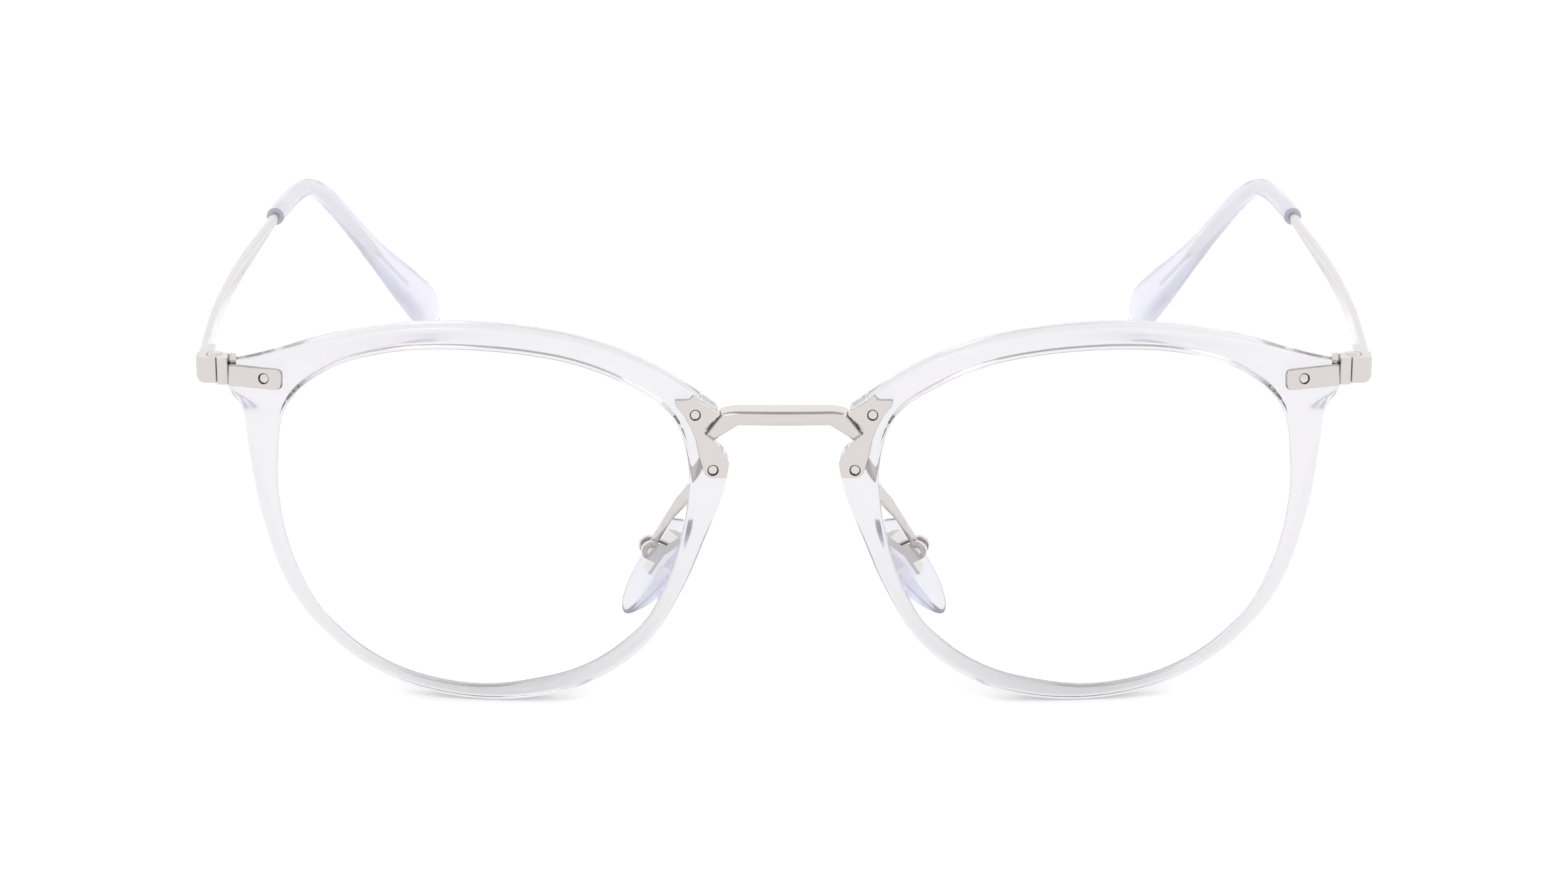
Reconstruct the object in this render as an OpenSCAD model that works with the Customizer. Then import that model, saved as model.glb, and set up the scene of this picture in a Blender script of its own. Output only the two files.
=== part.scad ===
// Panto spectacles: two clear plastic rims joined by a riveted metal bridge,
// riveted metal end pieces, folding metal temples with clear tips, rocking nose pads.
// X runs across the face (+X is the wearer's left), +Y towards the ears, +Z up.
// The front stands on its rims and the temple tips rest on the same table, z = 0.

/* [Front] */
// Distance between the two lenses
bridge_gap = 20.6; // [19:0.2:24]
// Depth of a rim, front to back
rim_depth = 2.8; // [2.6:0.1:3.2]
// Thickness of a lens
lens_t = 1.8; // [1.2:0.1:2.0]
// Radius of the front curve of the lenses and rims
curve_r = 132; // [128:1:140]
// Angle by which each lens turns back towards the temple
face_wrap = 5; // [4.5:0.1:5.5]

/* [Metal] */
// Thickness of the riveted plates
plate_t = 0.9; // [0.8:0.05:0.95]
// How far the plates stand out of the rims
plate_proud = 0.45; // [0.3:0.05:0.5]
// Radius of the rivets
rivet_r = 0.64; // [0.5:0.01:0.7]
// Radius of the hinge screws
screw_r = 0.45; // [0.4:0.01:0.5]

/* [Temples] */
// Reach of a temple, from its hinge back to the end of its tip
temple_reach = 142; // [134:1:146]
// Height of a temple at its hinge
temple_h = 2.9; // [2.6:0.1:3.1]
// Thickness of a temple at its hinge
temple_t = 0.9; // [0.8:0.05:1.0]
// Width of the flat end of a temple tip
tip_w = 6.7; // [5.8:0.1:7.0]

/* [Nose pads] */
// Length of a nose pad
pad_l = 15; // [13:0.5:16]
// Width of a nose pad
pad_w = 7.6; // [6:0.2:8]
// Thickness of a nose pad
pad_t = 1.7; // [1.4:0.1:2.4]

/* [Hidden] */
$fn = 48;

RIGHT = -1;
LEFT = 1;
// Clearance round a fixed piece in its seat or hole, and round a turning shaft.
seat_gap = 0.03;
running_gap = 0.05;
// Length by which a cut runs past what it cuts.
beyond = 20;

// Y of the front plane, so that the origin is under the middle of the glasses.
front_y = -75.25;
// Half the width of a lens, from its groove edge to its middle.
lens_half = 25.5;
// Middle of a lens: outlines below are measured from it, u outwards and w upwards.
eye_x = bridge_gap / 2 + lens_half;
eye_z = 23.1;

// Lens opening of the rim as a tracer gives it: radii every 15 degrees, from the temple side up.
trace = [24.4, 25.5, 26.9, 25.6, 23.5, 21.9, 21.2, 21.5, 22.7, 24.4, 26.3, 25.5,
    24.0, 23.2, 22.9, 22.4, 21.8, 21.2, 21.3, 21.6, 22.2, 22.8, 23.3, 23.7];
trace_step = 360 / len(trace);
// Rim outline: its top edge, its nose-side notch and its lower edge, as [u, w].
rim_top = [[30.2, 18.1], [25.2, 19.6], [18, 21.8], [11, 23.4], [3, 24.1], [-5, 23.7],
    [-13, 22.2], [-20.5, 19.2], [-28.2, 13.9]];
rim_notch = [[-26.5, 11.6], [-27.8, 9.8]];
rim_low = [[-29.3, 7.9], [-28.5, 3.5], [-26.2, -2.4], [-23.3, -9], [-18.8, -16], [-11.6, -20.9],
    [-3.5, -22.9], [4.5, -22.7], [11.8, -20.6], [18.5, -16.2], [23.8, -9.5], [26.8, -0.5],
    [28.2, 8], [28.7, 12.2], [30.6, 14.9]];
rim_end = [[30.6, 17.6]];
spline_steps = 4;
rim_edge = 0.35;
// The rim's outer edge thins towards the hinge: how much, and from which u and w, over thin_run.
end_thin = 1.2;
thin_u = 18;
thin_w = 2;
thin_run = 10;
// The lens sits back from the rim's face; its tongue runs in the rim's groove.
lens_set = 0.5;
tongue_r = 0.75;
tongue_t = 0.6;
lens_gap = 0.06;
lens_fn = 360;
groove_r = 0.9;
groove_t = 0.9;

// Wing plate of the bridge on one rim, as [u, w, corner cut], and its middle.
wing = [[-23, 15.6, 0.25], [-24.75, 15.6, 0], [-25.2, 16.05, 0.1], [-25.9, 15.4, 0.2],
    [-28.3, 13.8, 0.2], [-28.2, 13.5, 0.1], [-26.6, 12.25, 0.2], [-26.4, 11.4, 0.2],
    [-27.65, 10.4, 0], [-29.3, 7.8, 0.2], [-28.95, 5.9, 0.2], [-26.45, 6.05, 0.9],
    [-25.7, 8.75, 0], [-25.4, 10.5, 0], [-24.75, 12.25, 0], [-24, 13.7, 0], [-23, 14.95, 0.3]];
wing_mid = [-26.4, 11];
wing_rivets = [[-25.3, 13.7], [-27.35, 6.95]];
rivet_sunk = 0.2;
// Bar between the wings: half its outline as [u, w], its face and its depth.
bar_half = [[-30.4, 12.25], [-27.5, 10.35], [-26.7, 11.6], [-28.35, 13.7], [-29.85, 14]];
bar_face_y = 0.95;
bar_depth = 2.8;

// End plate on the rim's temple side: its middle, its ends from there and its height.
end_mid = [26.9, 16.55];
end_in = -3.3;
end_out = 3.3;
end_h = 2.5;
end_corner = 0.75;
end_rivet = -1.1;

// Hinge screw axis, measured from the middle of the lens; the rest is measured from the axis.
pin_u = 31.8;
pin_y = 8.4;
hinge_w0 = 15.5;
hinge_w1 = 18.8;
lug_t = 1.1;
lug_r = 1.1;
knuckle_space_r = 1.2;
pocket_gap = 0.2;
wall = [[-1.5, -1.75, 0.35], [-0.2, -1.75, 0.15], [-0.2, -0.9, 0], [-1.5, -0.9, 0]];
tail = [[-2.4, -0.36], [0, -0.36], [0, 0.5], [-2.4, 0.5]];
web_x = -1.25;
neck = [[-1.4, -1.6], [-0.2, -1.6], [-0.2, 0], [-1.4, 0]];
lock_pin = [-1.55, 0.07];
lock_pin_r = 0.28;
screw_head_r = 0.62;
screw_head_t = 0.35;
head_proud = 0.05;
slot_w = 0.16;
slot_depth = 0.15;
// Temple half of the hinge: plan and front outlines, as [x, y or w, corner cut].
block_plan = [[-0.1, -1.5, 0.2], [1.6, -1.6, 0.4], [2.4, -0.9, 0.4], [2.45, 0.9, 0],
    [1.42, 0.9, 0], [1.42, 3.9, 0.2], [0.45, 3.9, 0.5], [0.45, 0.2, 0], [-0.1, 0.2, 0]];
block_front = [[-0.3, 15.65, 0], [2.5, 15.65, 1.3], [2.5, 18.8, 0.5], [-0.3, 18.8, 0]];

// Temple centre line: [x outwards and y back from the hinge screw, z above the table].
temple_line = [[1.95, 1.05, 40.1], [2.7, 14.5, 39.0], [3.25, 26, 38.15], [3.45, 38.5, 37.2],
    [3.4, 50.5, 36.3], [3.15, 61, 35.5], [2.8, 70.5, 34.8], [2.45, 79.5, 34.1], [2.2, 87.5, 33.5],
    [1.65, 95.5, 32.9], [0.85, 103, 32.35], [-0.15, 107.3, 31.8], [-1.55, 110, 30.45],
    [-3.2, 112.9, 27.75], [-5.4, 118.3, 22.8], [-7.5, 123.7, 17.85], [-9.6, 128.7, 13.3],
    [-11.75, 133.5, 8.9], [-13.15, 136.7, 6.0], [-14.3, 139.4, 3.4], [-15.3, 141.6, 1.3]];
line_reach = 142;
// Temple and tip sections along the line: [length, height], [length, thickness].
temple_heights = [[0, temple_h], [20, temple_h - 0.1], [45, 2.4], [70, 1.7], [86, 1.4], [88, 0.85],
    [130, 0.75], [132, 0.4]];
temple_thicks = [[0, temple_t], [45, 1.0], [70, 1.3], [86, 1.35], [88, 0.85],
    [130, 0.75], [132, 0.4]];
tip_heights = [[86, 2.4], [90, 2.65], [113, 2.75], [119, 2.85], [126, 3.2], [133, 4.0], [138, 4.9],
    [143, tip_w - 0.8], [147.5, tip_w - 0.1], [151, tip_w], [152.5, tip_w - 0.4],
    [153.6, tip_w - 1.5], [154.4, tip_w - 3.2], [155, 1.6]];
tip_thicks = [[86, 2.4], [90, 2.6], [119, 2.6], [143, 2.9], [151, 2.9], [153, 2.4], [155, 1.0]];
// Lengths at which the tip's mouth, the core wire's end and the bore's end lie.
mouth_s = 86;
core_s = 142;
bore_s = 144;
wire_gap = 0.06;
// Corner power of the strip's section: squarer at the front, an ellipse at the tip's mouth.
strip_powers = [[60, 0.45], [mouth_s, 1]];
strip_sides = 12;
tip_sides = 14;

// Screw of the nose pad, from the middle of the lens, and the pad's two tilts.
pad_at = [-19.6, 7.3, -5.1];
pad_frontal = 33;
pad_splay = 18;
// Pad arm from the back of the bridge to the pad screw, as [u, y, w].
arm_line = [[-27.3, 4.3, 11.3], [-26.9, 4.2, 9.6], [-25.7, 4.3, 6.5], [-23.6, 5.0, 2.3],
    [-21.6, 6.1, -1.4], [-20.7, 7.1, -3.25], [-20.05, 7.3, -4.45]];
arm_w = 1.0;
arm_t = 0.55;
arm_steps = 3;
arm_sides = 8;
eyelet_r = 0.85;
pad_screw_r = 0.35;
pad_head_r = 0.6;
pad_head_t = 0.3;
cheek_r = 1.2;
cheek_in = 0.38;
cheek_out = 0.95;
mount_l = 5.6;
mount_w = 2.0;
mount_t = 0.45;
// Pad measures from the pad screw: its flat back, and how far its middle hangs below.
pad_back = -1.25;
pad_drop = 1.3;
// Shape of its sections: share of the thickness on the metal side, taper and least end.
pad_dome = 0.25;
pad_taper = 0.08;
pad_end = 0.02;
pad_sides = 16;
pad_levels = 12;

// ---- functions ----

function unit(v) = v / norm(v);
function ease(t) = let (c = min(max(t, 0), 1)) c * c * (3 - 2 * c);
function cubic(a, b, c, d, t) =
    0.5 * (2 * b + (c - a) * t + (2 * a - 5 * b + 4 * c - d) * t * t
    + (3 * b - a - 3 * c + d) * t * t * t);
// Smooth open curve through every point.
function spline(p, steps) = let (n = len(p), q = concat([2 * p[0] - p[1]], p, [2 * p[n - 1] - p[n - 2]]))
    concat([for (i = [0 : n - 2], k = [0 : steps - 1])
        cubic(q[i], q[i + 1], q[i + 2], q[i + 3], k / steps)], [p[n - 1]]);
// Outline whose corners [x, y, cut] are rounded over the length of their cut.
function rounded(p, steps = 4) = let (n = len(p)) [for (i = [0 : n - 1]) each
    let (c = [p[i].x, p[i].y], a = [p[(i + n - 1) % n].x, p[(i + n - 1) % n].y],
        b = [p[(i + 1) % n].x, p[(i + 1) % n].y], cut = p[i].z,
        from = c + unit(a - c) * cut, to = c + unit(b - c) * cut)
    cut == 0 ? [c] : [for (k = [0 : steps]) let (t = k / steps)
        (1 - t) * (1 - t) * from + 2 * t * (1 - t) * c + t * t * to]];
// Outline, drawn anticlockwise, moved out by a distance at right angles to its edges.
function grown(p, by) = let (n = len(p)) [for (i = [0 : n - 1])
    let (a = unit(p[i] - p[(i + n - 1) % n]), b = unit(p[(i + 1) % n] - p[i]), m = unit(a + b))
        p[i] + by / (a * m) * [m.y, -m.x]];

// Y of the rim's face at [u, w], or of the layer that lies depth behind it.
function face_y(u, w, depth = 0) = curve_r * cos(face_wrap)
    - sqrt((curve_r - depth) * (curve_r - depth)
    - (u + curve_r * sin(face_wrap)) * (u + curve_r * sin(face_wrap)) - w * w);
// Radius of the lens opening in direction a.
function opening_r(a) = let (n = len(trace), s = (a % 360 + 360) % 360 / trace_step, i = floor(s))
    cubic(trace[(i + n - 1) % n], trace[i % n], trace[(i + 1) % n], trace[(i + 2) % n], s - i);
function rim_back(u, w) = rim_depth - end_thin * ease((u - thin_u) / thin_run) * ease((w - thin_w) / thin_run);
function polar3(a, r, depth) = [r * cos(a), face_y(r * cos(a), r * sin(a), depth), r * sin(a)];

rim_outline = concat(spline(rim_top, spline_steps), rim_notch, spline(rim_low, spline_steps), rim_end);
groove_front = lens_set + (lens_t - groove_t) / 2;
// One cross-section of the rim, from the lens opening out to the outline point p.
function rim_section(p) = let (a = atan2(p.y, p.x), ro = norm(p), ri = opening_r(a),
    e = rim_edge, back = rim_back(p.x, p.y), g0 = groove_front, g1 = g0 + groove_t)
    [for (q = [[ri, e], [ri + e, 0], [ro - e, 0], [ro, e], [ro, back - e], [ro - e, back],
        [ri + e, rim_depth], [ri, rim_depth - e], [ri, g1], [ri + groove_r, g1 - 0.1],
        [ri + groove_r, g0 + 0.1], [ri, g0]])
        polar3(a, q.x, q.y)];

// Lengths along a line of points, up to each of its points.
function lengths(p, i = 0, sum = 0) = i == len(p) ? []
    : let (s = i == 0 ? 0 : sum + norm(p[i] - p[i - 1])) concat([s], lengths(p, i + 1, s));
temple_path = spline([for (p = temple_line) [p.x, p.y * temple_reach / line_reach, p.z]], spline_steps);
temple_s = lengths(temple_path);
function tangent(p, i) = unit(p[min(i + 1, len(p) - 1)] - p[max(i - 1, 0)]);
// Closed ring about point i of a line: height h in the upright plane, thickness t across it.
// Power 1 gives an ellipse, and a smaller power squarer corners.
function ring(p, i, h, t, sides, power = 1) = let (along = tangent(p, i),
    up = unit([0, 0, 1] - along.z * along), side = cross(up, along))
    [for (k = [0 : sides - 1]) let (a = 360 * (k + 0.5) / sides, c = cos(a), s = sin(a))
        p[i] + side * (t / 2) * sign(c) * pow(abs(c), power)
        + up * (h / 2) * sign(s) * pow(abs(s), power)];

// ---- shared modules ----

// Solid through a row of rings that all have the same number of points.
module skin(rings, closed = false) {
    n = len(rings[0]);
    m = len(rings);
    last = closed ? m - 1 : m - 2;
    caps = closed ? [] : [[for (i = [0 : n - 1]) i], [for (i = [n - 1 : -1 : 0]) (m - 1) * n + i]];
    sides = [for (j = [0 : last], i = [0 : n - 1])
        let (a = j * n + i, b = j * n + (i + 1) % n, c = ((j + 1) % m) * n + i,
            d = ((j + 1) % m) * n + (i + 1) % n) each [[a, d, b], [a, c, d]]];
    polyhedron(points = [for (r = rings) each r], faces = concat(sides, caps));
}

// Puts a shape made for the wearer's left on its side, with the lens plane at front_y.
module on_side(side) {
    translate([0, front_y, 0])
        if (side == RIGHT) mirror([1, 0, 0]) children();
        else children();
}

module at_eye() translate([eye_x, 0, eye_z]) children();

module at_pin() translate([eye_x + pin_u, pin_y, 0]) children();

// Extrudes an outline drawn in X and Z, from y0 back to y1.
module along_y(y0, y1) translate([0, y1, 0]) rotate([90, 0, 0]) linear_extrude(y1 - y0) children();

// Frame on the rim's face at [u, w]: Y points into the rim, square to the face.
module on_face(at) {
    tilt = asin(at.y / curve_r);
    turn = asin((at.x + curve_r * sin(face_wrap)) / (curve_r * cos(tilt)));
    translate([at.x, face_y(at.x, at.y), at.y]) rotate([-tilt, 0, turn]) children();
}

// Frame of a nose pad at its screw: X points away from the nose, Y along the screw, Z up the pad.
module at_pad() translate(pad_at) rotate([0, -pad_frontal, 0]) rotate([0, 0, -pad_splay]) children();

// Slice of an outline between two heights, measured from the middle of the lens.
module between(w0, w1) translate([0, 0, eye_z + w0]) linear_extrude(w1 - w0) children();

// Cut of an outline right through the hinge.
module through() between(hinge_w0 - beyond, hinge_w1 + beyond) children();

// ---- front ----

module bridge_rivet_holes(r) {
    for (at = wing_rivets) on_face(at) along_y(-beyond, beyond) circle(r);
}

module end_rivet_hole(r) on_face(end_mid) translate([end_rivet, 0, 0]) along_y(-beyond, beyond) circle(r);

module wing_plate(y0, y1, grow = 0) {
    outline = [for (p = rounded(wing)) p - wing_mid];
    on_face(wing_mid) along_y(y0, y1) polygon(grown(outline, grow));
}

module end_plate(y0, y1, grow = 0) {
    h = end_h / 2;
    outline = [[end_out, h, 0], [end_in, h, end_corner], [end_in, -h, end_corner], [end_out, -h, 0]];
    on_face(end_mid) along_y(y0, y1) polygon(grown(rounded(outline), grow));
}

// Space behind the end plate that the front half of the hinge needs.
module hinge_pocket() {
    translate([pin_u + tail[0].x - seat_gap, -beyond, hinge_w0 - pocket_gap])
        cube([beyond, 2 * beyond, hinge_w1 - hinge_w0 + 2 * pocket_gap]);
}

module rim(side) {
    seat_y = plate_t - plate_proud + seat_gap;
    color([0.93, 0.93, 0.97, 0.5]) on_side(side) at_eye() difference() {
        skin([for (p = rim_outline) rim_section(p)], closed = true);
        wing_plate(-beyond, seat_y, seat_gap);
        end_plate(-beyond, seat_y, seat_gap);
        bridge_rivet_holes(rivet_r + seat_gap);
        end_rivet_hole(rivet_r + seat_gap);
        hinge_pocket();
    }
}

// Part of a lens between two depths behind the rim's face, grown past the lens opening.
module lens_layer(front, back, grow) {
    middle = [-curve_r * sin(face_wrap), curve_r * cos(face_wrap), 0];
    intersection() {
        along_y(-beyond, beyond) polygon([for (p = rim_outline) let (a = atan2(p.y, p.x), r = opening_r(a) + grow)
            [r * cos(a), r * sin(a)]]);
        difference() {
            translate(middle) sphere(curve_r - front, $fn = lens_fn);
            translate(middle) sphere(curve_r - back, $fn = lens_fn);
        }
    }
}

module lens(side) {
    tongue = lens_set + (lens_t - tongue_t) / 2;
    color([0.95, 0.97, 1.0, 0.25]) on_side(side) at_eye() {
        lens_layer(lens_set, lens_set + lens_t, -lens_gap);
        lens_layer(tongue, tongue + tongue_t, tongue_r);
    }
}

module bridge() {
    // The bar's outline, closed across the middle: left half, then right half.
    half = [for (p = bar_half) [eye_x + p.x, p.y]];
    outline = concat(half, [for (i = [len(half) - 1 : -1 : 0]) [-half[i].x, half[i].y]]);
    color("silver") {
        translate([0, front_y, eye_z]) along_y(bar_face_y, bar_face_y + bar_depth) polygon(outline);
        for (side = [RIGHT, LEFT]) on_side(side) at_eye() difference() {
            wing_plate(-plate_proud, plate_t - plate_proud);
            bridge_rivet_holes(rivet_r + seat_gap);
        }
    }
}

module rivet(back) along_y(rivet_sunk - plate_proud, back) circle(rivet_r);

module bridge_rivets() {
    color("gainsboro") for (side = [RIGHT, LEFT], at = wing_rivets)
        on_side(side) at_eye() on_face(at) rivet(rim_depth);
}

module end_piece_rivets() {
    color("gainsboro") for (side = [RIGHT, LEFT]) on_side(side) at_eye()
        on_face(end_mid) translate([end_rivet, 0, 0]) rivet(rim_back(end_mid.x, end_mid.y));
}

module end_piece(side) {
    color("silver") on_side(side) at_eye() difference() {
        end_plate(-plate_proud, plate_t - plate_proud);
        end_rivet_hole(rivet_r + seat_gap);
    }
}

// ---- hinge ----

module hinge_front(side) {
    color("silver") on_side(side) at_pin() difference() {
        union() {
            between(hinge_w0, hinge_w1) polygon(rounded(wall));
            between(hinge_w0, hinge_w1) intersection() {
                polygon(tail);
                translate([tail[0].x, -beyond]) square([web_x - tail[0].x, 2 * beyond]);
            }
            for (w = [hinge_w0, hinge_w1 - lug_t]) between(w, w + lug_t) {
                circle(lug_r);
                polygon(tail);
                polygon(neck);
            }
        }
        between(hinge_w0 + lug_t, hinge_w1 - lug_t) circle(knuckle_space_r);
        through() circle(screw_r + seat_gap);
        between(hinge_w1 - screw_head_t - seat_gap, hinge_w1 + beyond) circle(screw_head_r + seat_gap);
        through() translate(lock_pin) circle(lock_pin_r + seat_gap);
    }
}

module hinge_lock_pin(side) {
    color("gainsboro") on_side(side) at_pin() translate(lock_pin)
        between(hinge_w0, hinge_w1 + head_proud) circle(lock_pin_r);
}

module hinge_screw(side) {
    color("gainsboro") on_side(side) at_pin() difference() {
        union() {
            between(hinge_w0, hinge_w1) circle(screw_r);
            between(hinge_w1 - screw_head_t, hinge_w1 + head_proud) circle(screw_head_r);
        }
        between(hinge_w1 + head_proud - slot_depth, hinge_w1 + beyond)
            square([2 * beyond, slot_w], center = true);
    }
}

module temple_hinge(side) {
    w0 = hinge_w0 + lug_t + running_gap;
    w1 = hinge_w1 - lug_t - running_gap;
    color("silver") on_side(side) at_pin() difference() {
        union() {
            difference() {
                intersection() {
                    through() polygon(rounded(block_plan));
                    translate([0, 0, eye_z]) along_y(-beyond, beyond) polygon(rounded(block_front));
                }
                between(hinge_w0 - beyond, w0) circle(knuckle_space_r);
                between(w1, hinge_w1 + beyond) circle(knuckle_space_r);
            }
            between(w0, w1) circle(lug_r);
        }
        through() circle(screw_r + running_gap);
    }
}

// ---- temples ----

module temple(side) {
    rings = [for (i = [0 : len(temple_path) - 1]) if (temple_s[i] <= core_s)
        ring(temple_path, i, lookup(temple_s[i], temple_heights), lookup(temple_s[i], temple_thicks),
            strip_sides, lookup(temple_s[i], strip_powers))];
    color("silver") on_side(side) at_pin() skin(rings);
}

// Tip: up the inside of its bore from the end of the core wire, then back along its outside.
module temple_tip(side) {
    n = len(temple_path) - 1;
    bore = [for (i = [n : -1 : 0]) if (temple_s[i] >= mouth_s && temple_s[i] < bore_s)
        ring(temple_path, i, lookup(temple_s[i], temple_heights) + 2 * wire_gap,
            lookup(temple_s[i], temple_thicks) + 2 * wire_gap, tip_sides)];
    outside = [for (i = [0 : n]) if (temple_s[i] >= mouth_s)
        ring(temple_path, i, lookup(temple_s[i], tip_heights), lookup(temple_s[i], tip_thicks), tip_sides)];
    color([0.88, 0.88, 0.97, 0.6]) on_side(side) at_pin() skin(concat(bore, outside));
}

// ---- nose pads ----

module pad_arm(side) {
    line = spline(arm_line, arm_steps);
    color("silver") on_side(side) at_eye() difference() {
        union() {
            skin([for (i = [0 : len(line) - 1]) ring(line, i, arm_w, arm_t, arm_sides)]);
            at_pad() along_y(-arm_t / 2, arm_t / 2) circle(eyelet_r);
        }
        at_pad() along_y(-beyond, beyond) circle(pad_screw_r + running_gap);
    }
}

// One level of the pad, from -1 at its lower end to 1 at its upper end: an ellipse that is
// thick on its nose side and shallow on its metal side.
function pad_ring(f) = let (round = sqrt(max(1 - f * f, pad_end)),
    half = pad_w / 2 * round * (1 - pad_taper * f), thick = pad_t * round)
    [for (k = [0 : pad_sides - 1]) let (a = 360 * (k + 0.5) / pad_sides, c = cos(a))
        [(c > 0 ? pad_dome : 1) * thick * c, half * sin(a), f * pad_l / 2]];

module nose_pad(side) {
    flat_x = pad_back - mount_t - seat_gap;
    color([0.88, 0.88, 0.97, 0.6]) on_side(side) at_eye() at_pad() difference() {
        translate([flat_x - pad_dome * pad_t, 0, -pad_drop])
            skin([for (k = [0 : pad_levels]) pad_ring(-cos(180 * k / pad_levels))]);
        translate([flat_x, -beyond, -beyond]) cube(2 * beyond);
    }
}

module pad_mount(side) {
    color("gainsboro") on_side(side) at_eye() at_pad() difference() {
        union() {
            translate([pad_back - mount_t, -mount_w / 2, -mount_l / 2]) cube([mount_t, mount_w, mount_l]);
            for (y = [-cheek_out, cheek_in]) along_y(y, y + cheek_out - cheek_in) {
                circle(cheek_r);
                translate([pad_back - mount_t / 2, -cheek_r]) square([-pad_back, 2 * cheek_r]);
            }
        }
        along_y(-beyond, beyond) circle(pad_screw_r + seat_gap);
    }
}

module pad_screw(side) {
    color("gainsboro") on_side(side) at_eye() at_pad() {
        along_y(-cheek_out - pad_head_t, cheek_out) circle(pad_screw_r);
        along_y(-cheek_out - pad_head_t, -cheek_out - seat_gap) circle(pad_head_r);
    }
}

rim(RIGHT);  // rim_right
rim(LEFT);  // rim_left
lens(RIGHT);  // lens_right
lens(LEFT);  // lens_left
bridge();
bridge_rivets();
end_piece(RIGHT);  // end_piece_right
end_piece(LEFT);  // end_piece_left
end_piece_rivets();
hinge_front(RIGHT);  // hinge_front_right
hinge_front(LEFT);  // hinge_front_left
hinge_lock_pin(RIGHT);  // hinge_lock_pin_right
hinge_lock_pin(LEFT);  // hinge_lock_pin_left
hinge_screw(RIGHT);  // hinge_screw_right
hinge_screw(LEFT);  // hinge_screw_left
temple_hinge(RIGHT);  // temple_hinge_right
temple_hinge(LEFT);  // temple_hinge_left
temple(RIGHT);  // temple_right
temple(LEFT);  // temple_left
temple_tip(RIGHT);  // temple_tip_right
temple_tip(LEFT);  // temple_tip_left
pad_arm(RIGHT);  // pad_arm_right
pad_arm(LEFT);  // pad_arm_left
nose_pad(RIGHT);  // nose_pad_right
nose_pad(LEFT);  // nose_pad_left
pad_mount(RIGHT);  // pad_mount_right
pad_mount(LEFT);  // pad_mount_left
pad_screw(RIGHT);  // pad_screw_right
pad_screw(LEFT);  // pad_screw_left
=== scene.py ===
"""Clear plastic spectacles with riveted silver metal fittings, on a white floor."""

import math

import bmesh
import bpy
import numpy as np
from mathutils import Matrix, Vector


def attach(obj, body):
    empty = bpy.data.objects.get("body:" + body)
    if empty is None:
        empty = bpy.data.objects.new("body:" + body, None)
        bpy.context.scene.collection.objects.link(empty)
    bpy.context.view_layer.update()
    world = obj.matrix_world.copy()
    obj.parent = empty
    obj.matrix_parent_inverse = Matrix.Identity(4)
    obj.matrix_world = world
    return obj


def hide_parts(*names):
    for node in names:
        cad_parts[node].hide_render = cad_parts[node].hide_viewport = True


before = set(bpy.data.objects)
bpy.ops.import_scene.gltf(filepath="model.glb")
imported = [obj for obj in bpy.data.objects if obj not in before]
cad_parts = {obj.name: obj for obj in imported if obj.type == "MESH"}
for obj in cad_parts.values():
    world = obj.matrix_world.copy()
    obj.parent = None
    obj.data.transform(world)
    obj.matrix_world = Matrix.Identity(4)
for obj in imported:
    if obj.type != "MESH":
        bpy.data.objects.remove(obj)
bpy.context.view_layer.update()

MM = 0.001
SIDES = (("right", -1), ("left", 1))

# Measures in millimetres, as in the part's source. u is outwards and w upwards from the
# middle of a lens; y is back from the front plane. Names that end in _S are lengths along a
# temple from its hinge pin, and tables pair such a length with a size.

# The front's place and curve, the depths of its layers, and the hinge pins
FRONT_Y = -75.25
EYE_X, EYE_Z = 35.8, 23.1
CURVE_R, WRAP = 132.0, math.radians(5)
RIM_DEPTH, CORNER_THINNER = 2.8, 1.2
LENS_SET, LENS_T = 0.5, 1.8
PLATE_T, PLATE_PROUD = 0.9, 0.45
SEAT_GAP = 0.03
PIN_U, PIN_Y = 31.8, 8.4

# Radii of the lens opening every 15 degrees from straight outwards, then upwards. They are a
# separate program's least-squares fit to points measured in the photograph. Then the rim's
# outline in smooth stretches between its corners
OPENING_R = [24.4, 25.5, 26.9, 25.6, 23.5, 21.9, 21.2, 21.5, 22.7, 24.4, 26.3, 25.5,
             24.0, 23.2, 22.9, 22.4, 21.8, 21.2, 21.3, 21.6, 22.2, 22.8, 23.3, 23.7]
RIM_TOP = [(30.2, 18.1), (25.2, 19.6), (18, 21.8), (11, 23.4), (3, 24.1), (-5, 23.7),
           (-13, 22.2), (-20.5, 19.2), (-28.2, 13.9)]
RIM_NOTCH = [(-26.5, 11.6), (-27.8, 9.8)]
RIM_LOW = [(-29.3, 7.9), (-28.5, 3.5), (-26.2, -2.4), (-23.3, -9), (-18.8, -16),
           (-11.6, -20.9), (-3.5, -22.9), (4.5, -22.7), (11.8, -20.6), (18.5, -16.2),
           (23.8, -9.5), (26.8, -0.5), (28.2, 8), (28.7, 12.2), (30.6, 14.9)]
RIM_END = [(30.6, 17.6)]

# The plates let into the rims: corners as (u, w, length cut off), places and rivets
WING = [(-23, 15.6, 0.25), (-24.75, 15.6, 0), (-25.2, 16.05, 0.15), (-25.9, 15.4, 0.2),
        (-28.3, 13.8, 0.2), (-28.2, 13.5, 0.1), (-26.6, 12.25, 0.2), (-26.4, 11.4, 0.2),
        (-27.65, 10.4, 0), (-29.3, 7.8, 0.2), (-28.95, 5.9, 0.2), (-26.45, 6.05, 0.9),
        (-25.7, 8.75, 0), (-25.4, 10.5, 0), (-24.75, 12.25, 0), (-24, 13.7, 0),
        (-23, 14.95, 0.3)]
WING_MID = (-26.4, 11)
WING_RIVETS = [(-25.3, 13.7), (-27.35, 6.95)]
END_MID = (26.9, 16.55)
END_IN, END_OUT, END_H, END_CORNER, END_RIVET = -3.3, 3.5, 2.5, 0.75, -1.1
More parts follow.
